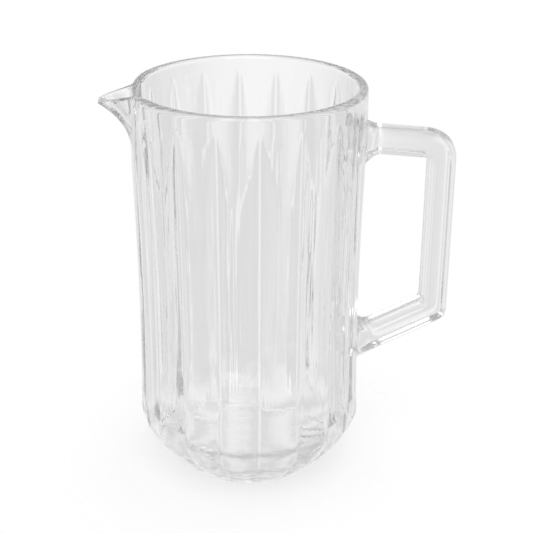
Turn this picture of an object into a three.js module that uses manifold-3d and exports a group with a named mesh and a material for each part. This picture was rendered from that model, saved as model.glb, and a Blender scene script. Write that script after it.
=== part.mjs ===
// A clear glass jug: a ribbed vessel with a small pulled lip, and a squared loop handle joined to it.
// Millimetres, +Z up. The origin is the centre of the foot. The handle lies on +X, the lip on -X.
import * as THREE from "three";
import { mergeVertices } from "three/addons/utils/BufferGeometryUtils.js";
import Module from "manifold-3d";

// Vessel, outside
const jugHeight = 204;
const wallRadius = 57.5;
const footRadius = 36;
const shoulderHeight = 30;
const haunchHeight = 20;

// Vessel, inside
const rimThickness = 5;
const wallThickness = 5.6;
const floorThickness = 7;
const floorRadius = 22;
const insideShoulder = 42;

// Upright ribs on the outside, with a sharp groove between each two
const ribCount = 18;
const grooveDepth = 1.4;
const grooveTopDrop = 8.5;
const grooveMeetDrop = 44;
const grooveReachCurve = 0.8;
const grooveDepthCurve = 0.45;
const grooveSide = 2.4;
const ribDrop = 1;

// Lip, opposite the handle, in a shallow dip of the rim
const lipReach = 16.2;
const lipHalfWidth = 12.5;
const lipFootHalfWidth = 11.8;
const lipTipHalfWidth = 2.3;
const lipDepth = 30.5;
const lipFall = 3.7;
const lipCurve = 1.8;
const lipStraightShare = 0.3;
const lipThickening = 1.9;
const dipDepth = 3;
const dipHalfWidth = 28.5;

// Handle
const fingerGap = 33.3;
const handleWidth = 17.5;
const handleDepth = 13;
const handleCrown = 4.5;
const handleEdge = 1.2;
const topArmDrop = 34.8;
const topArmFall = 6.5;
const lowArmHeight = 69.6;
const lowArmRise = 24.3;
const topInnerRound = 5;
const topOuterRound = 17;
const lowInnerRound = 2.5;
const lowOuterRound = 7;
const padLength = 7;
const padInnerFlare = 4.5;
const padCrownFlare = 2.2;
const padSideFlare = 1.8;
const joinGap = 0.3;

// Columns of points round the vessel
const columnsPerRib = 8;

const wasm = await Module();
wasm.setup();

function toSolid(geometry) {
  const bare = new THREE.BufferGeometry();
  bare.setAttribute("position", geometry.getAttribute("position").clone());
  bare.setIndex(geometry.getIndex());
  const merged = mergeVertices(bare, 1e-4);
  const corners = merged.getIndex().array;
  const kept = [];
  for (let i = 0; i < corners.length; i += 3) {
    const [a, b, c] = [corners[i], corners[i + 1], corners[i + 2]];
    if (a !== b && b !== c && c !== a) kept.push(a, b, c);
  }
  const vertProperties = new Float32Array(merged.getAttribute("position").array);
  const triVerts = new Uint32Array(kept);
  return new wasm.Manifold(new wasm.Mesh({ numProp: 3, vertProperties, triVerts }));
}

function toGeometry(solid) {
  const mesh = solid.getMesh();
  const geometry = new THREE.BufferGeometry();
  geometry.setAttribute("position", new THREE.BufferAttribute(new Float32Array(mesh.vertProperties), 3));
  geometry.setIndex(new THREE.BufferAttribute(new Uint32Array(mesh.triVerts), 1));
  geometry.computeVertexNormals();
  return geometry;
}

function smooth(t) {
  const s = THREE.MathUtils.clamp(t, 0, 1);
  return s * s * (3 - 2 * s);
}

// Share of the way down from the points of the grooves to the height where their sides meet.
function grooveRise(z) {
  return THREE.MathUtils.clamp((jugHeight - grooveTopDrop - z) / (grooveMeetDrop - grooveTopDrop), 0, 1);
}

// Depth of a groove's bottom below the tops of the ribs.
function grooveBottom(z) {
  if (z < shoulderHeight) return grooveDepth * Math.sqrt(Math.max(0, z / shoulderHeight));
  return grooveDepth * Math.pow(grooveRise(z), grooveDepthCurve);
}

// How far the ribs stand back from the rim between the height where the grooves meet and the shoulder.
function ribSetback(z) {
  const meet = jugHeight - grooveMeetDrop;
  const along = THREE.MathUtils.clamp((meet - z) / (meet - shoulderHeight), 0, 1);
  return ribDrop * Math.sin(Math.PI * along);
}

// Depth of the outside below the plain wall at one angle and height. A rib's top is at angle 0, and the
// sides of a groove steepen towards its bottom.
function wallDepth(angle, z) {
  const turns = (angle * ribCount) / (2 * Math.PI);
  const across = Math.abs(2 * (turns - Math.floor(turns)) - 1);
  const reach = Math.pow(grooveRise(z), grooveReachCurve);
  if (across >= reach) return ribSetback(z);
  return ribSetback(z) + grooveBottom(z) * Math.pow(1 - across / reach, grooveSide);
}

// Share of the way up from the lip's foot to the rim.
function lipRise(z) {
  return THREE.MathUtils.clamp((z - (jugHeight - lipDepth)) / lipDepth, 0, 1);
}

// How far the lip has grown at one angle and height, from 0 on the plain wall to 1 at its tip.
function lipGrowth(angle, z) {
  if (Math.cos(angle) > 0) return 0;
  const rise = lipRise(z);
  const aside = Math.abs(Math.sin(angle)) * wallRadius;
  const half = lipFootHalfWidth + (lipHalfWidth - lipFootHalfWidth) * rise;
  const reach = THREE.MathUtils.clamp((half - aside) / (half - lipTipHalfWidth * rise), 0, 1);
  const flank = THREE.MathUtils.lerp(smooth(reach), reach, lipStraightShare);
  return flank * Math.pow(rise, lipCurve);
}

// How far the rim has sunk on both sides of the lip and under it.
function rimDip(angle, z) {
  if (Math.cos(angle) > 0) return 0;
  const aside = Math.abs(Math.sin(angle)) * wallRadius;
  return dipDepth * smooth(1 - aside / dipHalfWidth) * Math.pow(lipRise(z), lipCurve);
}

// Outside profile from the foot to the rim's edge, as points with radius x and height y.
function outsideProfile() {
  const base = new THREE.QuadraticBezierCurve(
    new THREE.Vector2(footRadius, 0),
    new THREE.Vector2(wallRadius, haunchHeight),
    new THREE.Vector2(wallRadius, shoulderHeight),
  ).getPoints(8);
  const meet = jugHeight - grooveMeetDrop;
  const top = jugHeight - grooveTopDrop;
  const heights = [];
  for (let i = 1; i <= 4; i += 1) heights.push(shoulderHeight + ((meet - shoulderHeight) * i) / 4);
  for (let i = 1; i <= 6; i += 1) heights.push(meet + ((top - meet) * i) / 6);
  heights.push((top + jugHeight - rimThickness / 2) / 2);
  return [new THREE.Vector2(0, 0), ...base, ...heights.map((z) => new THREE.Vector2(wallRadius, z))];
}

// Inside profile from the rim's edge down to the floor's centre.
function insideProfile() {
  const rimInside = wallRadius - rimThickness;
  const inside = wallRadius - wallThickness;
  const lipStart = jugHeight - lipDepth;
  const rimBase = jugHeight - rimThickness / 2;
  const upper = [];
  for (let i = 1; i <= 4; i += 1) {
    const z = rimBase + ((lipStart - rimBase) * i) / 4;
    upper.push(new THREE.Vector2(rimInside + ((inside - rimInside) * i) / 4, z));
  }
  const base = new THREE.QuadraticBezierCurve(
    new THREE.Vector2(inside, insideShoulder),
    new THREE.Vector2(inside, floorThickness),
    new THREE.Vector2(floorRadius, floorThickness),
  ).getPoints(9);
  return [...upper, ...base, new THREE.Vector2(0, floorThickness)];
}

// Half round over the top of the rim, from the outside to the inside.
function rimProfile() {
  const round = rimThickness / 2;
  const points = [];
  for (let i = 0; i <= 6; i += 1) {
    const turn = (Math.PI * i) / 6;
    const x = wallRadius - round + round * Math.cos(turn);
    points.push(new THREE.Vector2(x, jugHeight - round + round * Math.sin(turn)));
  }
  return points;
}

// Angles of the columns, twice as close over the lip.
function columnAngles() {
  const count = ribCount * columnsPerRib;
  const step = (2 * Math.PI) / count;
  const reach = Math.asin(Math.min(1, lipHalfWidth / wallRadius)) + step;
  const angles = [];
  for (let i = 0; i < count; i += 1) {
    const angle = i * step;
    angles.push(angle);
    if (Math.abs(angle + step / 2 - Math.PI) < reach) angles.push(angle + step / 2);
  }
  angles.push(2 * Math.PI);
  return angles;
}

// The vessel as a lathe whose points are moved for the ribs and the lip. The lip's floor is raised square
// to its slope, so that the drawn-out glass doesn't thin. Grown by swell with no hollow, the vessel is
// the shape that the handle's ends are fitted to.
function vesselGeometry(swell, hollow) {
  const lipSlope = new THREE.Vector2(
    lipReach * lipCurve,
    lipDepth - (lipFall + dipDepth) * lipCurve,
  ).normalize();
  const outside = outsideProfile();
  const rim = rimProfile();
  const inside = hollow ? insideProfile() : [new THREE.Vector2(0, jugHeight)];
  const profile = [...outside, ...rim, ...inside];
  const angles = columnAngles();
  const geometry = new THREE.LatheGeometry(profile, angles.length - 1);
  const position = geometry.getAttribute("position");
  for (let i = 0; i < angles.length; i += 1) {
    const angle = angles[i] % (2 * Math.PI);
    for (let j = 0; j < profile.length; j += 1) {
      let radius = profile[j].x;
      let z = profile[j].y;
      if (j > 0 && j < outside.length) {
        const before = profile[j - 1];
        const after = profile[j + 1];
        const along = new THREE.Vector2().subVectors(after, before).normalize();
        const depth = wallDepth(angle, z) * (1 - lipGrowth(angle, z));
        radius -= depth * along.y;
        z += depth * along.x;
      }
      if (j > 0 && j < outside.length + rim.length) radius += swell;
      if (radius > floorRadius) {
        const growth = lipGrowth(angle, profile[j].y);
        const inward = THREE.MathUtils.clamp((wallRadius - profile[j].x) / rimThickness, 0, 1);
        const thickening = lipThickening * growth * inward;
        radius += lipReach * growth - thickening * lipSlope.y;
        z += thickening * lipSlope.x - lipFall * growth - rimDip(angle, profile[j].y);
      }
      position.setXYZ(i * profile.length + j, radius * Math.cos(angle), radius * Math.sin(angle), z);
    }
  }
  return geometry;
}

// One row of the handle: a point on its inner face, one on its crown, and half its width.
function row(inner, outer, half) {
  return { inner, outer, half };
}

// Share of a pad's flare that is left at a distance from the axis: 1 at the wall, 0 at the pad's end.
function flare(radius) {
  const far = THREE.MathUtils.clamp((radius - wallRadius) / padLength, 0, 1);
  return (1 - far) * (1 - far);
}

// Rows along an arm, from inside the wall outwards to the point where its corner starts.
function armRows(start, angle, side, innerEnd, outerEnd) {
  const along = new THREE.Vector2(Math.cos(angle), Math.sin(angle));
  const up = new THREE.Vector2(-Math.sin(angle), Math.cos(angle)).multiplyScalar(side);
  const marks = [-handleDepth, -handleDepth / 2, 0, padLength / 3, (2 * padLength) / 3, padLength];
  const rows = marks.map((mark) => {
    const inner = start.clone().addScaledVector(along, mark);
    const outer = inner.clone().addScaledVector(up, handleDepth);
    const half = handleWidth / 2 + padSideFlare * flare(inner.x);
    inner.addScaledVector(up, -padInnerFlare * flare(inner.x));
    outer.addScaledVector(up, padCrownFlare * flare(outer.x));
    return row(inner, outer, half);
  });
  rows.push(row(innerEnd, outerEnd, handleWidth / 2));
  return rows;
}

// Points of a rounded corner at a sharp point, between two directions.
function cornerPoints(sharp, from, to, radius) {
  const turn = Math.acos(THREE.MathUtils.clamp(from.dot(to), -1, 1));
  const reach = radius * Math.tan(turn / 2);
  return new THREE.QuadraticBezierCurve(
    sharp.clone().addScaledVector(from, -reach),
    sharp,
    sharp.clone().addScaledVector(to, reach),
  ).getPoints(8);
}

// Section across the handle: flat inner face, flat sides and a crowned outer face. Each point holds
// the share of the half width and the share of the depth.
function handleSection() {
  const edge = handleEdge / handleDepth;
  const inset = 1 - handleEdge / (handleWidth / 2);
  const side = 1 - handleCrown / handleDepth;
  const points = [
    [-inset, 0],
    [inset, 0],
    [1, edge],
  ];
  for (let i = 0; i <= 8; i += 1) {
    const turn = (Math.PI * i) / 8;
    points.push([Math.cos(turn), side + (1 - side) * Math.sin(turn)]);
  }
  points.push([-1, edge]);
  return points;
}

function handleGeometry() {
  const fall = -THREE.MathUtils.degToRad(topArmFall);
  const rise = THREE.MathUtils.degToRad(lowArmRise);
  const gripInner = wallRadius + fingerGap;
  const gripOuter = gripInner + handleDepth;
  const topStart = new THREE.Vector2(wallRadius, jugHeight - topArmDrop);
  const lowStart = new THREE.Vector2(wallRadius, lowArmHeight);
  const down = new THREE.Vector2(0, -1);
  const out = new THREE.Vector2(Math.cos(fall), Math.sin(fall));
  const back = new THREE.Vector2(-Math.cos(rise), -Math.sin(rise));
  const topAt = (x, lift) => topStart.y + (x - wallRadius) * Math.tan(fall) + lift / Math.cos(fall);
  const lowAt = (x, lift) => lowStart.y + (x - wallRadius) * Math.tan(rise) - lift / Math.cos(rise);
  const topInner = new THREE.Vector2(gripInner, topAt(gripInner, 0));
  const topOuter = new THREE.Vector2(gripOuter, topAt(gripOuter, handleDepth));
  const lowInner = new THREE.Vector2(gripInner, lowAt(gripInner, 0));
  const lowOuter = new THREE.Vector2(gripOuter, lowAt(gripOuter, handleDepth));
  const topIn = cornerPoints(topInner, out, down, topInnerRound);
  const topOut = cornerPoints(topOuter, out, down, topOuterRound);
  const lowIn = cornerPoints(lowInner, down, back, lowInnerRound);
  const lowOut = cornerPoints(lowOuter, down, back, lowOuterRound);
  const half = handleWidth / 2;
  const rows = armRows(topStart, fall, 1, topIn[0], topOut[0]);
  for (let i = 1; i < topIn.length; i += 1) rows.push(row(topIn[i], topOut[i], half));
  for (let i = 0; i < lowIn.length - 1; i += 1) rows.push(row(lowIn[i], lowOut[i], half));
  rows.push(...armRows(lowStart, rise, -1, lowIn.at(-1), lowOut.at(-1)).reverse());

  const section = handleSection();
  const positions = [];
  for (const { inner, outer, half: width } of rows) {
    for (const [across, deep] of section) {
      const x = inner.x + (outer.x - inner.x) * deep;
      const z = inner.y + (outer.y - inner.y) * deep;
      positions.push(x, across * width, z);
    }
  }
  const count = section.length;
  const index = [];
  for (let i = 0; i + 1 < rows.length; i += 1) {
    for (let j = 0; j < count; j += 1) {
      const a = i * count + j;
      const b = i * count + ((j + 1) % count);
      index.push(a, b, b + count, a, b + count, a + count);
    }
  }
  const last = (rows.length - 1) * count;
  for (let j = 1; j + 1 < count; j += 1) {
    index.push(0, j + 1, j);
    index.push(last, last + j, last + j + 1);
  }
  const geometry = new THREE.BufferGeometry();
  geometry.setAttribute("position", new THREE.Float32BufferAttribute(positions, 3));
  geometry.setIndex(index);
  return geometry;
}

const glass = { color: 0xeef1f0, roughness: 0.04, metalness: 0 };

const body = new THREE.Mesh(
  toGeometry(toSolid(vesselGeometry(0, true))),
  new THREE.MeshStandardMaterial(glass),
);
body.name = "body";

const handle = new THREE.Mesh(
  toGeometry(toSolid(handleGeometry()).subtract(toSolid(vesselGeometry(joinGap, false)))),
  new THREE.MeshStandardMaterial(glass),
);
handle.name = "handle";

const jug = new THREE.Group();
jug.name = "jug";
jug.add(body, handle);

export default jug;
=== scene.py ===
# %% [markdown]
# # A ribbed glass jug
# This lesson builds a clear glass jug in Blender, around a frame that already holds its real sizes.
# The frame has two solids: the vessel and the handle. Both are clear glass, so the lesson is about
# smooth surfaces, even walls and light, because glass shows nothing but what is behind and around it.

# %% Load the frame
import math

import bmesh
import bpy
from mathutils import Euler, Matrix, Vector


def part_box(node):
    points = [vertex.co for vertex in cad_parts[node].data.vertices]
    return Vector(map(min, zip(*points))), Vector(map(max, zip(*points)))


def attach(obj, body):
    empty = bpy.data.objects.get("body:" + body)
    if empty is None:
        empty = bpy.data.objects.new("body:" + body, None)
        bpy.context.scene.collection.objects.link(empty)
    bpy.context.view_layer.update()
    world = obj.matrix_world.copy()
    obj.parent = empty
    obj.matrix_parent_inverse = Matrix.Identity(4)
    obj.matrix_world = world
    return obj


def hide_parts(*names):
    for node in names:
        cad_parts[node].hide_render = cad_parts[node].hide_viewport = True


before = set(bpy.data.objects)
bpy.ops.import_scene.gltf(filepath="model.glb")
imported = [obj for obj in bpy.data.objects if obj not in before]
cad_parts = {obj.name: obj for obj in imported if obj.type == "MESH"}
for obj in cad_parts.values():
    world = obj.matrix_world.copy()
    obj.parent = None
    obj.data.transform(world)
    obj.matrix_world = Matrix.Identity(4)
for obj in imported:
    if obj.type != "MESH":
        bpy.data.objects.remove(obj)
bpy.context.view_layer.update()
print("nodes:", sorted(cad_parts))

# %% [markdown]
# ## Sizes
# The overall sizes come from the frame's boxes, so the looks follow the solids. What a box can't tell,
# such as the thickness of the wall, is written once, in metres, before the step that first needs it.

# %% Sizes of the vessel
body_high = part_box("body")[1]
JUG_HEIGHT = body_high[2]
WALL_RADIUS = body_high[1]

FOOT_RADIUS = 0.036
FOOT_EDGE = 0.0012
HAUNCH_HEIGHT = 0.020
SHOULDER_HEIGHT = 0.030
RIM_THICKNESS = 0.005
WALL_THICKNESS = 0.0056
FLOOR_THICKNESS = 0.007
FLOOR_RADIUS = 0.022
INSIDE_SHOULDER = 0.042
print(f"height {JUG_HEIGHT * 1000:.1f} mm, radius {WALL_RADIUS * 1000:.1f} mm")

# %% [markdown]
# ## The glass
# Clear glass is a Principled shader with full transmission. Pressed glass isn't perfect: its skin is
# drawn into faint upright streaks as it leaves the mould, and it is polished more in some places than
# in others. Two noise textures on Object coordinates give those streaks to the bump and that change to
# the roughness. A flame then melts the rim smooth, so the streaks fade out towards it. A thin grey
# absorption in the volume makes thick glass darker than thin glass, and calms the light that runs round
# and round inside the rim.

# %% Helpers for the glass
POLISH_SCALE = 60.0
POLISH_ROUGHNESS = 0.02
STREAK_SCALE = 170.0
STREAK_STRETCH = (1.0, 1.0, 0.05)
STREAK_HEIGHT = 0.0004
FLAME_START_DROP = 0.018
FLAME_FULL_DROP = 0.008
NOISE_DETAIL = 2.0


def add_noise(tree, place, scale):
    """Noise at the place that a vector socket gives."""
    noise = tree.nodes.new("ShaderNodeTexNoise")
    noise.inputs["Scale"].default_value = scale
    noise.inputs["Detail"].default_value = NOISE_DETAIL
    tree.links.new(place, noise.inputs["Vector"])
    return noise.outputs["Fac"]


def add_polish(tree, place, shader):
    """Lets the roughness wander a little from place to place."""
    polish = tree.nodes.new("ShaderNodeMapRange")
    polish.inputs["To Min"].default_value = 0.0
    polish.inputs["To Max"].default_value = POLISH_ROUGHNESS
    tree.links.new(add_noise(tree, place, POLISH_SCALE), polish.inputs["Value"])
    tree.links.new(polish.outputs["Result"], shader.inputs["Roughness"])


def fade_to_rim(tree, place, strength):
    """A strength that falls to nothing where the flame has melted the rim smooth."""
    split = tree.nodes.new("ShaderNodeSeparateXYZ")
    fade = tree.nodes.new("ShaderNodeMapRange")
    fade.interpolation_type = "SMOOTHSTEP"
    fade.inputs["From Min"].default_value = JUG_HEIGHT - FLAME_START_DROP
    fade.inputs["From Max"].default_value = JUG_HEIGHT - FLAME_FULL_DROP
    fade.inputs["To Min"].default_value = strength
    fade.inputs["To Max"].default_value = 0.0
    tree.links.new(place, split.inputs["Vector"])
    tree.links.new(split.outputs["Z"], fade.inputs["Value"])
    return fade.outputs["Result"]


def add_streaks(tree, place, shader, strength):
    """Draws noise out upright and lets it tilt the surface."""
    drawn = tree.nodes.new("ShaderNodeVectorMath")
    drawn.operation = "MULTIPLY"
    drawn.inputs[1].default_value = STREAK_STRETCH
    bump = tree.nodes.new("ShaderNodeBump")
    bump.inputs["Distance"].default_value = STREAK_HEIGHT
    tree.links.new(fade_to_rim(tree, place, strength), bump.inputs["Strength"])
    tree.links.new(place, drawn.inputs[0])
    tree.links.new(add_noise(tree, drawn.outputs["Vector"], STREAK_SCALE), bump.inputs["Height"])
    tree.links.new(bump.outputs["Normal"], shader.inputs["Normal"])


# %% Glass material
GLASS_TINT = (0.943, 0.943, 0.943, 1.0)
GLASS_SHADE = (0.37, 0.37, 0.37, 1.0)
GLASS_IOR = 1.5
VESSEL_DENSITY = 2.5
VESSEL_STREAKS = 0.55
HANDLE_DENSITY = 4.5
HANDLE_STREAKS = 0.1


def make_glass(name, density, streaks):
    """Clear pressed glass; density is how fast it darkens, streaks how strong its streaks are."""
    material = bpy.data.materials.new(name)
    material.use_nodes = True
    tree = material.node_tree
    tree.nodes.clear()
    output = tree.nodes.new("ShaderNodeOutputMaterial")
    shader = tree.nodes.new("ShaderNodeBsdfPrincipled")
    shader.inputs["Base Color"].default_value = GLASS_TINT
    shader.inputs["Transmission Weight"].default_value = 1.0
    shader.inputs["IOR"].default_value = GLASS_IOR
    place = tree.nodes.new("ShaderNodeTexCoord").outputs["Object"]
    add_polish(tree, place, shader)
    add_streaks(tree, place, shader, streaks)
    darkening = tree.nodes.new("ShaderNodeVolumeAbsorption")
    darkening.inputs["Color"].default_value = GLASS_SHADE
    darkening.inputs["Density"].default_value = density
    tree.links.new(shader.outputs["BSDF"], output.inputs["Surface"])
    tree.links.new(darkening.outputs["Volume"], output.inputs["Volume"])
    return material


vessel_glass = make_glass("vessel_glass", VESSEL_DENSITY, VESSEL_STREAKS)
handle_glass = make_glass("handle_glass", HANDLE_DENSITY, HANDLE_STREAKS)
print("materials:", vessel_glass.name, handle_glass.name)

# %% [markdown]
# ## The rules of the grooves
# Eighteen upright ribs stand round the wall, with a sharp groove between each two. A groove starts as a
# point a little below the rim and widens downwards until it meets its neighbours. Each rule below gives
# one measure of the grooves at a height, so the same numbers serve every groove.

# %% Grooves at a height
RIB_COUNT = 18
GROOVE_DEPTH = 0.0014
GROOVE_TOP_DROP = 0.0085
GROOVE_MEET_DROP = 0.044
GROOVE_REACH_CURVE = 0.8
GROOVE_DEPTH_CURVE = 0.45
GROOVE_LEAST_REACH = 0.001
RIB_DROP = 0.001
GROOVE_TOP = JUG_HEIGHT - GROOVE_TOP_DROP
GROOVE_MEET = JUG_HEIGHT - GROOVE_MEET_DROP


def share_between(value, start, end):
    """How far a value is from start to end, from 0 to 1."""
    return min(max((value - start) / (end - start), 0.0), 1.0)


def groove_depth(z):
    """Depth of a groove's bottom below the tops of the ribs."""
    if z < SHOULDER_HEIGHT:
        return GROOVE_DEPTH * math.sqrt(max(0.0, z / SHOULDER_HEIGHT))
    return GROOVE_DEPTH * share_between(z, GROOVE_TOP, GROOVE_MEET) ** GROOVE_DEPTH_CURVE


def groove_reach(z):
    """Share of a rib's half width that the side of a groove takes up."""
    return max(share_between(z, GROOVE_TOP, GROOVE_MEET) ** GROOVE_REACH_CURVE, GROOVE_LEAST_REACH)


def rib_setback(z):
    """How far the ribs stand back from the rim between the grooves' meeting and the shoulder."""
    return RIB_DROP * math.sin(math.pi * share_between(z, GROOVE_MEET, SHOULDER_HEIGHT))


for drop in (GROOVE_TOP_DROP, GROOVE_MEET_DROP):
    depth = groove_depth(JUG_HEIGHT - drop)
    print(f"{drop * 1000:.1f} mm below the rim: groove {depth * 1000:.2f} mm deep")

# %% [markdown]
# ## The vessel's profile
# A pressed jug is a body of revolution before the mould cuts grooves into it. So its blank is a profile
# turned round the axis: up the outside from the foot, over the rim and down the inside to the floor.
# The inside stays smooth, as the plunger that forms it has to be drawn out again.

# %% Profile helpers
def bezier(a, b, c, count):
    """Points of a quadratic curve from a to c, pulled towards b."""
    points = []
    for i in range(count + 1):
        t = i / count
        weights = ((1 - t) ** 2, 2 * t * (1 - t), t * t)
        points.append(tuple(sum(w * v for w, v in zip(weights, values)) for values in zip(a, b, c)))
    return points


def spread(start, end, count):
    """Values from start to end, without the start itself."""
    return [start + (end - start) * (i + 1) / count for i in range(count)]


# %% Profile of the vessel
LIP_DEPTH = 0.0305
FOOT_ROWS = 5
BASE_ROWS = 36
WALL_ROWS = 28
POINT_ROWS = 48
NECK_ROWS = 6
RIM_ROWS = 20
LIP_ROWS = 28
INSIDE_WALL_ROWS = 14
BOWL_ROWS = 24
INSIDE_FLOOR_ROWS = 5


def outside_rows():
    """Radius and height of each row from the foot's centre to the start of the rim."""
    foot = (FOOT_RADIUS, 0.0)
    haunch = (WALL_RADIUS, HAUNCH_HEIGHT)
    shoulder = (WALL_RADIUS, SHOULDER_HEIGHT)
    rows = [(0.0, 0.0)]
    rows += [(r, 0.0) for r in spread(0.0, FOOT_RADIUS - FOOT_EDGE, FOOT_ROWS)]
    rows += bezier(foot, haunch, shoulder, BASE_ROWS)
    rows += [(WALL_RADIUS, z) for z in spread(SHOULDER_HEIGHT, GROOVE_MEET, WALL_ROWS)]
    rows += [(WALL_RADIUS, z) for z in spread(GROOVE_MEET, GROOVE_TOP, POINT_ROWS)]
    rim_start = JUG_HEIGHT - RIM_THICKNESS / 2
    rows += [(WALL_RADIUS, z) for z in spread(GROOVE_TOP, rim_start, NECK_ROWS)]
    return rows


def rim_rows():
    """A half round over the rim, from the outside to the inside."""
    rounding = RIM_THICKNESS / 2
    radius, height = WALL_RADIUS - rounding, JUG_HEIGHT - rounding
    turns = spread(0.0, math.pi, RIM_ROWS)
    return [(radius + rounding * math.cos(a), height + rounding * math.sin(a)) for a in turns]


def inside_rows():
    """Radius and height of each row from the rim down to the floor's centre."""
    rim_foot = Vector((WALL_RADIUS - RIM_THICKNESS, JUG_HEIGHT - RIM_THICKNESS / 2))
    lip_foot = Vector((WALL_RADIUS - WALL_THICKNESS, JUG_HEIGHT - LIP_DEPTH))
    bowl_top = (lip_foot.x, INSIDE_SHOULDER)
    bowl_corner = (lip_foot.x, FLOOR_THICKNESS)
    floor_edge = (FLOOR_RADIUS, FLOOR_THICKNESS)
    rows = [tuple(rim_foot.lerp(lip_foot, share)) for share in spread(0.0, 1.0, LIP_ROWS)]
    rows += [(lip_foot.x, z) for z in spread(lip_foot.y, INSIDE_SHOULDER, INSIDE_WALL_ROWS)[:-1]]
    rows += bezier(bowl_top, bowl_corner, floor_edge, BOWL_ROWS)
    rows += [(r, FLOOR_THICKNESS) for r in spread(FLOOR_RADIUS, 0.0, INSIDE_FLOOR_ROWS)]
    return rows


outside = outside_rows()
profile = outside + rim_rows() + inside_rows()
print("profile rows:", len(profile))

# %% [markdown]
# ## Turning the blank
# The profile is turned in columns, a fixed number to each rib, so that every rib is cut alike. Over the
# lip the columns lie closer, because the glass is drawn out there. Each row of the outside also keeps
# what the rules above say at its height, as named values on its points, for the next step to read.

# %% Turn the profile
LIP_HALF_WIDTH = 0.0125
COLUMNS_PER_RIB = 20
LIP_COLUMNS = 3
ON_AXIS = 1e-6


def column_angles():
    """Angles of the columns, closer together over the lip."""
    count = RIB_COUNT * COLUMNS_PER_RIB
    step = 2 * math.pi / count
    half = math.asin(LIP_HALF_WIDTH / WALL_RADIUS) + step
    angles = []
    for i in range(count):
        parts = LIP_COLUMNS if abs((i + 0.5) * step - math.pi) < half else 1
        angles += [(i + part / parts) * step for part in range(parts)]
    return angles


def turned_mesh(name, rows, angles):
    """A closed mesh from rows of radius and height. A row on the axis becomes one point."""
    points, rings = [], []
    for radius, z in rows:
        ring_angles = angles if radius > ON_AXIS else [0.0]
        rings.append(list(range(len(points), len(points) + len(ring_angles))))
        points += [(radius * math.cos(a), radius * math.sin(a), z) for a in ring_angles]
    faces = []
    for low, high in zip(rings, rings[1:]):
        for i in range(len(angles)):
            j = (i + 1) % len(angles)
            if len(low) == 1:
                faces.append((low[0], high[j], high[i]))
            elif len(high) == 1:
                faces.append((low[i], low[j], high[0]))
            else:
                faces.append((low[i], low[j], high[j], high[i]))
    mesh = bpy.data.meshes.new(name)
    mesh.from_pydata(points, [], faces)
    mesh.update()
    return mesh, rings


blank, rings = turned_mesh("vessel_blank", profile, column_angles())
print("blank:", len(blank.vertices), "points")

# %% Give the rows their values
ROW_RULES = {"groove_depth": groove_depth, "groove_reach": groove_reach, "rib_setback": rib_setback}

for name, rule in ROW_RULES.items():
    values = blank.attributes.new(name, "FLOAT", "POINT")
    for ring, (radius, z) in zip(rings, outside):
        value = rule(z) if radius > FOOT_RADIUS - FOOT_EDGE else 0.0
        for index in ring:
            values.data[index].value = value
vessel = bpy.data.objects.new("jug_body", blank)
bpy.context.scene.collection.objects.link(vessel)
print("row values:", sorted(ROW_RULES))

# %% [markdown]
# ## Ribs and lip by Geometry Nodes
# The grooves repeat round the wall and follow one rule, and the lip follows a rule too. Both could be
# sculpted by hand, but a node tree states each rule once, with named inputs, and moves the blank's
# points by it, so a size can be changed without touching the mesh.

# %% Node helpers
class NodeSums:
    """Short ways to add arithmetic nodes to a tree and to join them."""

    def __init__(self, tree):
        self.tree = tree

    def put(self, socket, value):
        if isinstance(value, (int, float)):
            socket.default_value = value
        else:
            self.tree.links.new(value, socket)

    def math(self, operation, *values, clamp=False):
        node = self.tree.nodes.new("ShaderNodeMath")
        node.operation = operation
        node.use_clamp = clamp
        for socket, value in zip(node.inputs, values):
            self.put(socket, value)
        return node.outputs["Value"]

    def product(self, first, *others):
        result = first
        for other in others:
            result = self.math("MULTIPLY", result, other)
        return result

    def eased(self, value):
        node = self.tree.nodes.new("ShaderNodeMapRange")
        node.interpolation_type = "SMOOTHSTEP"
        self.tree.links.new(value, node.inputs["Value"])
        return node.outputs["Result"]

    def vector(self, x, y, z):
        node = self.tree.nodes.new("ShaderNodeCombineXYZ")
        for socket, value in zip(node.inputs, (x, y, z)):
            self.put(socket, value)
        return node.outputs["Vector"]


# %% Inputs of the tree
LIP_REACH = 0.0162
LIP_FOOT_HALF_WIDTH = 0.0118
LIP_TIP_HALF_WIDTH = 0.0023
LIP_FALL = 0.0037
LIP_CURVE = 1.8
LIP_STRAIGHT_SHARE = 0.3
LIP_THICKENING = 0.0019
DIP_DEPTH = 0.003
DIP_HALF_WIDTH = 0.0285
GROOVE_SIDE = 2.4
GROOVE_BOTTOM = 0.05
tip_fall = LIP_FALL + DIP_DEPTH
lip_slope = Vector((LIP_REACH * LIP_CURVE, LIP_DEPTH - tip_fall * LIP_CURVE)).normalized()

VESSEL_SIZES = {
    "Rib Count": RIB_COUNT,
    "Groove Side": GROOVE_SIDE,
    "Groove Bottom": GROOVE_BOTTOM,
    "Jug Height": JUG_HEIGHT,
    "Wall Radius": WALL_RADIUS,
    "Rim Thickness": RIM_THICKNESS,
    "Lip Depth": LIP_DEPTH,
    "Lip Reach": LIP_REACH,
    "Lip Fall": LIP_FALL,
    "Lip Half Width": LIP_HALF_WIDTH,
    "Lip Foot Half Width": LIP_FOOT_HALF_WIDTH,
    "Lip Tip Half Width": LIP_TIP_HALF_WIDTH,
    "Lip Curve": LIP_CURVE,
    "Lip Straight Share": LIP_STRAIGHT_SHARE,
    "Lip Thickening": LIP_THICKENING,
    "Lip Slope Out": lip_slope.x,
    "Lip Slope Up": lip_slope.y,
    "Dip Depth": DIP_DEPTH,
    "Dip Half Width": DIP_HALF_WIDTH,
}

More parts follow.
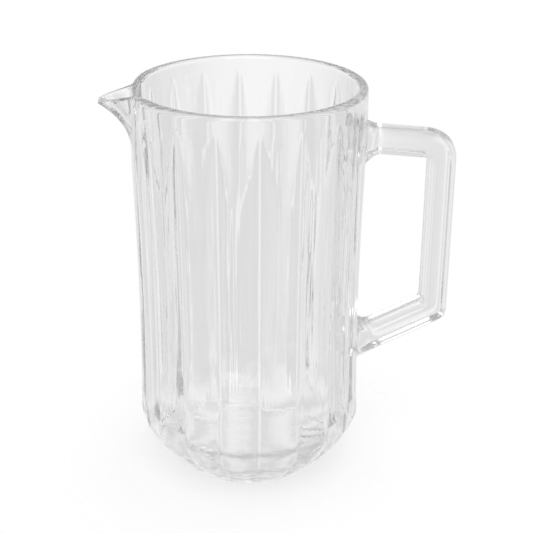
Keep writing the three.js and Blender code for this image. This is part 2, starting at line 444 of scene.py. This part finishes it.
tree = bpy.data.node_groups.new("ribbed_vessel", "GeometryNodeTree")
tree.interface.new_socket("Geometry", in_out="INPUT", socket_type="NodeSocketGeometry")
tree.interface.new_socket("Geometry", in_out="OUTPUT", socket_type="NodeSocketGeometry")
size_sockets = {}
for name, value in VESSEL_SIZES.items():
    socket = tree.interface.new_socket(name, in_out="INPUT", socket_type="NodeSocketFloat")
    socket.default_value = value
    size_sockets[name] = socket.identifier
group_in = tree.nodes.new("NodeGroupInput")
group_out = tree.nodes.new("NodeGroupOutput")
size = {name: group_in.outputs[name] for name in VESSEL_SIZES}
sums = NodeSums(tree)
print("tree inputs:", len(size_sockets))

# %% Where a point is
position = tree.nodes.new("GeometryNodeInputPosition")
split = tree.nodes.new("ShaderNodeSeparateXYZ")
tree.links.new(position.outputs["Position"], split.inputs["Vector"])
x, y, z = split.outputs["X"], split.outputs["Y"], split.outputs["Z"]
angle = sums.math("ARCTAN2", y, x)
radius = sums.math("SQRT", sums.math("MULTIPLY_ADD", x, x, sums.math("MULTIPLY", y, y)))
aside = sums.math("MULTIPLY", sums.math("ABSOLUTE", sums.math("SINE", angle)), size["Wall Radius"])
print("nodes that place a point:", len(tree.nodes))

# %% [markdown]
# ## The lip
# While the glass is still soft, a tool draws the rim outwards and a little down. The lip's growth is 1 at
# its tip and fades to 0 down the wall and towards both flanks. The rim also dips gently on both sides of
# it. Glass that is only pushed outwards would thin as its wall leans over, so the lip's floor is raised
# square to its slope, which keeps its edge as full as the rim.

# %% Growth of the lip
lip_foot = sums.math("SUBTRACT", size["Jug Height"], size["Lip Depth"])
rise = sums.math("DIVIDE", sums.math("SUBTRACT", z, lip_foot), size["Lip Depth"], clamp=True)
widening = sums.math("SUBTRACT", size["Lip Half Width"], size["Lip Foot Half Width"])
half_width = sums.math("MULTIPLY_ADD", widening, rise, size["Lip Foot Half Width"])
flank_width = sums.math("SUBTRACT", half_width, sums.math("MULTIPLY", size["Lip Tip Half Width"], rise))
reach = sums.math("DIVIDE", sums.math("SUBTRACT", half_width, aside), flank_width, clamp=True)
soft_share = sums.math("SUBTRACT", 1.0, size["Lip Straight Share"])
straight_part = sums.math("MULTIPLY", reach, size["Lip Straight Share"])
flank = sums.math("MULTIPLY_ADD", sums.eased(reach), soft_share, straight_part)
curl = sums.math("POWER", rise, size["Lip Curve"])
lip_side = sums.math("LESS_THAN", x, 0.0)
growth = sums.product(flank, curl, lip_side)
print("nodes with the growth:", len(tree.nodes))

# %% Moves of the lip
dip_share = sums.math("SUBTRACT", 1.0, sums.math("DIVIDE", aside, size["Dip Half Width"]))
dip = sums.product(sums.eased(dip_share), curl, lip_side, size["Dip Depth"])
from_outside = sums.math("SUBTRACT", size["Wall Radius"], radius)
inward = sums.math("DIVIDE", from_outside, size["Rim Thickness"], clamp=True)
thickening = sums.product(growth, inward, size["Lip Thickening"])
drawn_out = sums.math("MULTIPLY", growth, size["Lip Reach"])
out_move = sums.math("SUBTRACT", drawn_out, sums.math("MULTIPLY", thickening, size["Lip Slope Up"]))
sunk = sums.math("MULTIPLY_ADD", growth, size["Lip Fall"], dip)
up_move = sums.math("SUBTRACT", sums.math("MULTIPLY", thickening, size["Lip Slope Out"]), sunk)
out_x = sums.math("MULTIPLY", sums.math("COSINE", angle), out_move)
out_y = sums.math("MULTIPLY", sums.math("SINE", angle), out_move)
lip_move = sums.vector(out_x, out_y, up_move)
print("nodes with the lip:", len(tree.nodes))

# %% [markdown]
# ## The grooves
# Across a groove, the depth falls from its bottom to nothing at the tops of the ribs, along a power
# curve: steep near the bottom, nearly flat on the rib. A small rounding keeps the bottom from being a
# knife edge. The cut follows the surface normal, so the grooves also wrap round the shoulder to the foot.

# %% Depth of the grooves
def row_value(name):
    """Reads one of the blank's row values."""
    node = tree.nodes.new("GeometryNodeInputNamedAttribute")
    node.data_type = "FLOAT"
    node.inputs["Name"].default_value = name
    return node.outputs["Attribute"]


ribs_round = sums.math("DIVIDE", sums.math("MULTIPLY", angle, size["Rib Count"]), 2 * math.pi)
across = sums.math("MULTIPLY_ADD", sums.math("FRACT", ribs_round), 2.0, -1.0)
bottom = size["Groove Bottom"]
squares = sums.math("MULTIPLY_ADD", across, across, sums.math("MULTIPLY", bottom, bottom))
from_bottom = sums.math("SUBTRACT", sums.math("SQRT", squares), bottom)
side_reach = sums.math("MAXIMUM", row_value("groove_reach"), GROOVE_LEAST_REACH)
up_side = sums.math("SUBTRACT", 1.0, sums.math("DIVIDE", from_bottom, side_reach), clamp=True)
cut = sums.math("MULTIPLY", sums.math("POWER", up_side, size["Groove Side"]), row_value("groove_depth"))
set_back = sums.math("ADD", cut, row_value("rib_setback"))
faded = sums.math("MULTIPLY", set_back, sums.math("SUBTRACT", growth, 1.0))
print("nodes with the grooves:", len(tree.nodes))

# %% Move the points and end the tree
normal = tree.nodes.new("GeometryNodeInputNormal")
both_moves = tree.nodes.new("ShaderNodeVectorMath")
both_moves.operation = "MULTIPLY_ADD"
tree.links.new(normal.outputs["Normal"], both_moves.inputs[0])
tree.links.new(sums.vector(faded, faded, faded), both_moves.inputs[1])
tree.links.new(lip_move, both_moves.inputs[2])
move = tree.nodes.new("GeometryNodeSetPosition")
realize = tree.nodes.new("GeometryNodeRealizeInstances")
finish = tree.nodes.new("GeometryNodeSetMaterial")
finish.inputs["Material"].default_value = vessel_glass
tree.links.new(group_in.outputs["Geometry"], move.inputs["Geometry"])
tree.links.new(both_moves.outputs["Vector"], move.inputs["Offset"])
tree.links.new(move.outputs["Geometry"], realize.inputs["Geometry"])
tree.links.new(realize.outputs["Geometry"], finish.inputs["Geometry"])
tree.links.new(finish.outputs["Geometry"], group_out.inputs["Geometry"])
print("tree nodes:", len(tree.nodes))

# %% Make the vessel a plain mesh
def settle(piece, material):
    """Replaces a piece's modifiers by the mesh that they make, shaded smooth."""
    evaluated = piece.evaluated_get(bpy.context.evaluated_depsgraph_get())
    mesh = bpy.data.meshes.new_from_object(evaluated)
    piece.modifiers.clear()
    piece.data = mesh
    mesh.name = piece.name
    mesh.materials.clear()
    mesh.materials.append(material)
    for name in ROW_RULES:
        mesh.attributes.remove(mesh.attributes[name])
    mesh.shade_smooth()
    return mesh


modifier = vessel.modifiers.new("ribbed_vessel", "NODES")
modifier.node_group = tree
for name, identifier in size_sockets.items():
    modifier[identifier] = float(VESSEL_SIZES[name])
vessel_mesh = settle(vessel, vessel_glass)
print("vessel:", len(vessel_mesh.polygons), "faces")

# %% [markdown]
# ## The handle
# The handle is a bar of glass bent into a squared loop. Its section is flat on the finger side and on
# both flanks, and crowned outside. Two lines in the upright plane guide it, one along the finger side
# and one along the crown, and the section is carried between them row by row. At the wall it swells
# into pads, and its ends sit just inside the wall's glass, so the two pieces read as one.

# %% Sizes of the handle
handle_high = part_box("handle")[1]
HANDLE_WIDTH = 0.0175
HANDLE_DEPTH = 0.013
HANDLE_CROWN = 0.0045
HANDLE_EDGE = 0.0015
GRIP_OUTER = handle_high[0]
GRIP_INNER = GRIP_OUTER - HANDLE_DEPTH
TOP_ARM_DROP = 0.0348
TOP_ARM_HEIGHT = JUG_HEIGHT - TOP_ARM_DROP
TOP_ARM_FALL = math.radians(-6.5)
LOW_ARM_HEIGHT = 0.0696
LOW_ARM_RISE = math.radians(24.3)
TOP_INNER_ROUND = 0.005
TOP_OUTER_ROUND = 0.017
LOW_INNER_ROUND = 0.0025
LOW_OUTER_ROUND = 0.007
PAD_LENGTH = 0.007
PAD_INNER_FLARE = 0.0045
PAD_CROWN_FLARE = 0.0022
PAD_SIDE_FLARE = 0.0018
END_DEPTH = 0.0034
END_RADIUS = WALL_RADIUS - END_DEPTH
print(f"finger gap {(GRIP_INNER - WALL_RADIUS) * 1000:.1f} mm, grip {HANDLE_WIDTH * 1000:.1f} mm wide")

# %% Rows of an arm
PAD_ROWS = 10
ARM_ROWS = 8


def flare(x):
    """Share of a pad's swelling left at a distance from the axis."""
    return (1.0 - share_between(x, WALL_RADIUS, WALL_RADIUS + PAD_LENGTH)) ** 2


def arm_rows(start_height, slope, side, inner_end, outer_end):
    """Rows of one arm from the wall to its corner: finger point, crown point, half width."""
    along = Vector((math.cos(slope), math.sin(slope)))
    across = Vector((-math.sin(slope), math.cos(slope))) * side
    start = Vector((WALL_RADIUS, start_height))
    rows = []
    for i in range(PAD_ROWS + 1):
        inner = start + along * (PAD_LENGTH * i / PAD_ROWS)
        outer = inner + across * HANDLE_DEPTH
        half = HANDLE_WIDTH / 2 + PAD_SIDE_FLARE * flare(inner.x)
        inner = inner - across * PAD_INNER_FLARE * flare(inner.x)
        outer = outer + across * PAD_CROWN_FLARE * flare(outer.x)
        rows.append((inner, outer, half))
    last_inner, last_outer = rows[-1][:2]
    for share in spread(0.0, 1.0, ARM_ROWS):
        inner = last_inner.lerp(inner_end, share)
        outer = last_outer.lerp(outer_end, share)
        rows.append((inner, outer, HANDLE_WIDTH / 2))
    return rows


# %% Rows of the loop
CORNER_ROWS = 20
GRIP_ROWS = 16


def corner(sharp, from_way, to_way, rounding):
    """Points of a rounded corner between two directions."""
    reach = rounding * math.tan(from_way.angle(to_way) / 2)
    curve = bezier(sharp - from_way * reach, sharp, sharp + to_way * reach, CORNER_ROWS)
    return [Vector(point) for point in curve]


def handle_rows():
    """All the rows of the loop, from the top pad to the lower pad."""
    out = Vector((math.cos(TOP_ARM_FALL), math.sin(TOP_ARM_FALL)))
    down = Vector((0.0, -1.0))
    back = Vector((-math.cos(LOW_ARM_RISE), -math.sin(LOW_ARM_RISE)))

    def top_at(x, lift):
        return Vector((x, TOP_ARM_HEIGHT + (x - WALL_RADIUS) * math.tan(TOP_ARM_FALL) + lift / out.x))

    def low_at(x, lift):
        return Vector((x, LOW_ARM_HEIGHT + (x - WALL_RADIUS) * math.tan(LOW_ARM_RISE) + lift / back.x))

    top_in = corner(top_at(GRIP_INNER, 0.0), out, down, TOP_INNER_ROUND)
    top_out = corner(top_at(GRIP_OUTER, HANDLE_DEPTH), out, down, TOP_OUTER_ROUND)
    low_in = corner(low_at(GRIP_INNER, 0.0), down, back, LOW_INNER_ROUND)
    low_out = corner(low_at(GRIP_OUTER, HANDLE_DEPTH), down, back, LOW_OUTER_ROUND)
    half = HANDLE_WIDTH / 2
    rows = arm_rows(TOP_ARM_HEIGHT, TOP_ARM_FALL, 1, top_in[0], top_out[0])
    rows += [(a, b, half) for a, b in zip(top_in[1:], top_out[1:])]
    for share in spread(0.0, 1.0, GRIP_ROWS):
        inner = top_in[-1].lerp(low_in[0], share)
        outer = top_out[-1].lerp(low_out[0], share)
        rows.append((inner, outer, half))
    rows += [(a, b, half) for a, b in zip(low_in[1:-1], low_out[1:-1])]
    rows += reversed(arm_rows(LOW_ARM_HEIGHT, LOW_ARM_RISE, -1, low_in[-1], low_out[-1]))
    return rows


loop = handle_rows()
print("handle rows:", len(loop))

# %% Section of the handle
FACE_POINTS = 8
EDGE_POINTS = 6
FLANK_POINTS = 5
CROWN_POINTS = 32


def handle_section():
    """Points round the section as shares of the half width and of the depth."""
    half = HANDLE_WIDTH / 2
    edge = HANDLE_EDGE
    flank = HANDLE_DEPTH - HANDLE_CROWN
    points = [(x * (half - edge), 0.0) for x in spread(-1.0, 1.0, FACE_POINTS)]
    for a in spread(-math.pi / 2, 0.0, EDGE_POINTS):
        points.append((half - edge + edge * math.cos(a), edge + edge * math.sin(a)))
    points += [(half, d) for d in spread(edge, flank, FLANK_POINTS)]
    for a in spread(0.0, math.pi, CROWN_POINTS):
        points.append((half * math.cos(a), flank + HANDLE_CROWN * math.sin(a)))
    points += [(-half, d) for d in spread(flank, edge, FLANK_POINTS)]
    for a in spread(math.pi, 1.5 * math.pi, EDGE_POINTS):
        points.append((-half + edge + edge * math.cos(a), edge + edge * math.sin(a)))
    return [(x / half, d / HANDLE_DEPTH) for x, d in points]


section = handle_section()
print("section points:", len(section))

# %% [markdown]
# ## Joining the rows
# Each row's section is placed between its two guide points, and neighbouring rows are joined by faces.
# Both ends are run on to an upright cylinder just inside the wall and capped there. The caps' edges are
# marked sharp, so that the smooth shading of the bar doesn't bend over them.

# %% Build the handle
def section_point(row, share):
    """Place of one section point in one row."""
    inner, outer, half = row
    across, deep = share
    spot = inner.lerp(outer, deep)
    return Vector((spot.x, across * half, spot.y))


def end_point(first, second):
    """Follows the line from second to first until it meets the upright cylinder of the ends."""
    x = math.sqrt(END_RADIUS ** 2 - first.y ** 2)
    slope = (second.z - first.z) / (second.x - first.x)
    return Vector((x, first.y, first.z + (x - first.x) * slope))


def handle_mesh(name):
    """The loop as a closed mesh with both ends capped on the cylinder."""
    grid = [[section_point(row, share) for share in section] for row in loop]
    grid[0] = [end_point(a, b) for a, b in zip(grid[0], grid[1])]
    grid[-1] = [end_point(a, b) for a, b in zip(grid[-1], grid[-2])]
    build = bmesh.new()
    verts = [[build.verts.new(point) for point in line] for line in grid]
    count = len(section)
    for low, high in zip(verts, verts[1:]):
        for i in range(count):
            j = (i + 1) % count
            build.faces.new((low[i], low[j], high[j], high[i]))
    for line in (verts[0], verts[-1]):
        middle = sum((v.co for v in line), Vector()) / count
        hub = build.verts.new((END_RADIUS, 0.0, middle.z))
        for i in range(count):
            j = (i + 1) % count
            build.faces.new((line[i], line[j], hub))
            build.edges.get((line[i], line[j])).smooth = False
    bmesh.ops.recalc_face_normals(build, faces=build.faces)
    for face in build.faces:
        face.smooth = True
    mesh = bpy.data.meshes.new(name)
    build.to_mesh(mesh)
    build.free()
    mesh.materials.append(handle_glass)
    return mesh


handle = bpy.data.objects.new("jug_handle", handle_mesh("jug_handle"))
bpy.context.scene.collection.objects.link(handle)
print("handle:", len(handle.data.polygons), "faces")

# %% [markdown]
# ## The pieces and the frame
# Nothing on a glass jug moves, so the frame has one body. Each piece stands for one solid of the frame
# and rides on that body.

# %% Tie the pieces to the frame
for piece, node in ((vessel, "body"), (handle, "handle")):
    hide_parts(node)
    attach(piece, "root")
    print(piece.name, "stands for", node)

# %% [markdown]
# ## The floor
# A jug on white stands on a white floor that has no edge. So the floor is a large sheet that fades into
# the white behind it a little way from the foot, and keeps only the jug's soft shadow. The rays that the
# glass bends or mirrors pass through it, because a white sheet under the foot would fill the whole jug
# with one even white, and the ribs would vanish.

# %% Floor
FLOOR_SIZE = 12.0
FLOOR_GAP = 0.0003
FLOOR_FADE = (0.055, 0.14)
FLOOR_PAINT = (0.3, 0.3, 0.3, 1.0)
FLOOR_GLOW = 0.70
WHITE = (1.0, 1.0, 1.0, 1.0)


def bent_rays(sums, path):
    """1 for a ray that a surface has bent or mirrored, 0 for any other."""
    return sums.math("MAXIMUM", path.outputs["Is Glossy Ray"], path.outputs["Is Transmission Ray"])


def floor_material():
    """Pale paint, lifted to white for the eye, that fades away from the jug."""
    material = bpy.data.materials.new("floor_white")
    material.use_nodes = True
    nodes, links = material.node_tree.nodes, material.node_tree.links
    sums = NodeSums(material.node_tree)
    nodes.clear()
    output = nodes.new("ShaderNodeOutputMaterial")
    path = nodes.new("ShaderNodeLightPath")
    paint = nodes.new("ShaderNodeBsdfDiffuse")
    paint.inputs["Color"].default_value = FLOOR_PAINT
    glow = nodes.new("ShaderNodeEmission")
    glow.inputs["Color"].default_value = WHITE
    links.new(sums.math("MULTIPLY", path.outputs["Is Camera Ray"], FLOOR_GLOW), glow.inputs["Strength"])
    lit = nodes.new("ShaderNodeAddShader")
    links.new(paint.outputs["BSDF"], lit.inputs[0])
    links.new(glow.outputs["Emission"], lit.inputs[1])
    place = nodes.new("ShaderNodeTexCoord")
    distance = nodes.new("ShaderNodeVectorMath")
    distance.operation = "LENGTH"
    links.new(place.outputs["Object"], distance.inputs["Vector"])
    near, far = FLOOR_FADE
    past_near = sums.math("SUBTRACT", distance.outputs["Value"], near)
    fade = sums.eased(sums.math("DIVIDE", past_near, far - near))
    clear = nodes.new("ShaderNodeBsdfTransparent")
    edge = nodes.new("ShaderNodeMixShader")
    links.new(sums.math("MAXIMUM", fade, bent_rays(sums, path)), edge.inputs["Fac"])
    links.new(lit.outputs["Shader"], edge.inputs[1])
    links.new(clear.outputs["BSDF"], edge.inputs[2])
    links.new(edge.outputs["Shader"], output.inputs["Surface"])
    return material


half = FLOOR_SIZE / 2
corner_ways = ((-1, -1), (1, -1), (1, 1), (-1, 1))
floor_corners = [(x * half, y * half, -FLOOR_GAP) for x, y in corner_ways]
floor_mesh = bpy.data.meshes.new("floor")
floor_mesh.from_pydata(floor_corners, [], [(0, 1, 2, 3)])
floor_mesh.materials.append(floor_material())
floor = bpy.data.objects.new("floor", floor_mesh)
bpy.context.scene.collection.objects.link(floor)
print(f"floor fades from {FLOOR_FADE[0]} m to {FLOOR_FADE[1]} m")

# %% [markdown]
# ## The light round the jug
# Clear glass shows only what it bends and mirrors, so in an evenly white room it nearly vanishes. A
# studio stands soft panels round it, with dim gaps between them, and the ribs draw themselves in both.
# Here the world does that for bent and mirrored rays: its brightness swings gently round the horizon,
# and it is dimmer at both sides, which darkens the jug's flanks, and a little dimmer overhead. Straight
# below it is dimmer too, as a floor is in the jug's own shade, which draws a grey line round the rim.
# The eye itself sees plain white, and everything else is lit by one even level.

# %% World
PANEL_COUNT = 16
PANEL_CENTRE = math.radians(83.5)
GAP_GREY = 0.82
SIDE_GREY = 0.83
OVERHEAD_GREY = 0.92
OVERHEAD_RISE = (0.1, 0.6)
UNDER_GREY = 0.72
UNDER_RISE = (-0.72, -0.88)
LIGHT_LEVEL = 0.8


def dimmed(sums, value, span, grey):
    """Falls gently from 1 to a grey as a value goes along a span."""
    start, end = span
    share = sums.eased(sums.math("DIVIDE", sums.math("SUBTRACT", value, start), end - start))
    return sums.math("MULTIPLY_ADD", share, grey - 1.0, 1.0)


def make_world():
    """White to the eye; a ring of white panels with grey gaps for what the glass bends or mirrors."""
    world = bpy.data.worlds.new("studio")
    world.use_nodes = True
    nodes, links = world.node_tree.nodes, world.node_tree.links
    sums = NodeSums(world.node_tree)
    nodes.clear()
    output = nodes.new("ShaderNodeOutputWorld")
    path = nodes.new("ShaderNodeLightPath")
    place = nodes.new("ShaderNodeTexCoord")
    split = nodes.new("ShaderNodeSeparateXYZ")
    links.new(place.outputs["Generated"], split.inputs["Vector"])
    compass = sums.math("ARCTAN2", split.outputs["Y"], split.outputs["X"])
    turn = sums.math("SUBTRACT", compass, PANEL_CENTRE)
    wave = sums.math("COSINE", sums.math("MULTIPLY", turn, PANEL_COUNT))
    panel = sums.math("MULTIPLY_ADD", wave, (1.0 - GAP_GREY) / 2, (1.0 + GAP_GREY) / 2)
    sideways = sums.math("COSINE", compass)
    side = sums.math("MULTIPLY_ADD", sums.math("MULTIPLY", sideways, sideways), SIDE_GREY - 1.0, 1.0)
    above = dimmed(sums, split.outputs["Z"], OVERHEAD_RISE, OVERHEAD_GREY)
    under = dimmed(sums, split.outputs["Z"], UNDER_RISE, UNDER_GREY)
    ring = sums.product(panel, side, above, under)
    bent = bent_rays(sums, path)
    plain = sums.math("MULTIPLY", sums.math("SUBTRACT", 1.0, bent), LIGHT_LEVEL)
    level = sums.math("MULTIPLY_ADD", ring, bent, plain)
    sky = nodes.new("ShaderNodeBackground")
    sky.inputs["Color"].default_value = WHITE
    links.new(sums.math("MAXIMUM", level, path.outputs["Is Camera Ray"]), sky.inputs["Strength"])
    links.new(sky.outputs["Background"], output.inputs["Surface"])
    return world


bpy.context.scene.world = make_world()
print("panels:", PANEL_COUNT, "of white to", GAP_GREY)

# %% [markdown]
# ## The lamps
# Two large soft lamps hang above the jug, a stronger one in front, over the camera, and a weaker one
# behind on the right. They are low in power: they only put a soft shadow under the jug, a glow in its
# rounded bottom and small lights on its edges, while the world does the rest.

# %% Lamps
MIDDLE = Vector((0.0, 0.0, JUG_HEIGHT / 2))


def soft_lamp(name, turn, rise, distance, size, power):
    """A square lamp at a compass turn and a rise in degrees, aimed at the jug's middle."""
    aim = Euler((0.0, -math.radians(rise), math.radians(turn))).to_matrix()
    away = aim @ Vector((distance, 0.0, 0.0))
    lamp = bpy.data.lights.new(name, "AREA")
    lamp.shape = "SQUARE"
    lamp.size = size
    lamp.energy = power
    holder = bpy.data.objects.new(name, lamp)
    holder.location = MIDDLE + away
    holder.rotation_euler = (-away).to_track_quat("-Z", "Y").to_euler()
    bpy.context.scene.collection.objects.link(holder)
    print(name, "at", [round(v, 2) for v in holder.location])


soft_lamp("key_lamp", turn=-95.0, rise=50.0, distance=1.3, size=1.0, power=6.0)
soft_lamp("fill_lamp", turn=40.0, rise=55.0, distance=1.5, size=0.8, power=3.0)

# %% [markdown]
# ## The camera
# The camera looks down on the jug from in front, a little to the left of square to the handle, through a
# long lens. Light crosses a glass wall many times before it leaves, so many bounces are allowed: with
# few, the rim and the lip would fill with black specks.

# %% Camera
VIEW_TURN = math.radians(5.0)
VIEW_DISTANCE = 0.620
VIEW_HEIGHT = 0.1075
VIEW_RISE = math.radians(24.09)
VIEW_YAW = math.radians(-0.89)
VIEW_ROLL = math.radians(0.18)
PHOTO_WIDTH = 533
PIXELS_PER_RADIAN = 1212
SENSOR_WIDTH = 36.0
LIGHT_BOUNCES = 128

camera_data = bpy.data.cameras.new("camera")
camera_data.sensor_width = SENSOR_WIDTH
camera_data.lens = SENSOR_WIDTH * PIXELS_PER_RADIAN / PHOTO_WIDTH
camera = bpy.data.objects.new("camera", camera_data)
look = Matrix.Rotation(VIEW_YAW - VIEW_TURN, 4, "Z")
tilt = Matrix.Rotation(math.pi / 2 - VIEW_RISE, 4, "X")
roll = Matrix.Rotation(VIEW_ROLL, 4, "Z")
back = Vector((0.0, -math.cos(VIEW_RISE), math.sin(VIEW_RISE))) * VIEW_DISTANCE
eye = Matrix.Rotation(-VIEW_TURN, 4, "Z") @ back + Vector((0.0, 0.0, VIEW_HEIGHT))
camera.matrix_world = Matrix.Translation(eye) @ look @ tilt @ roll
scene = bpy.context.scene
scene.collection.objects.link(camera)
scene.camera = camera
scene.view_settings.view_transform = "Standard"
scene.cycles.max_bounces = LIGHT_BOUNCES
scene.cycles.glossy_bounces = LIGHT_BOUNCES
scene.cycles.transmission_bounces = LIGHT_BOUNCES
print("camera at", [round(v, 4) for v in eye], "lens", round(camera_data.lens, 2))
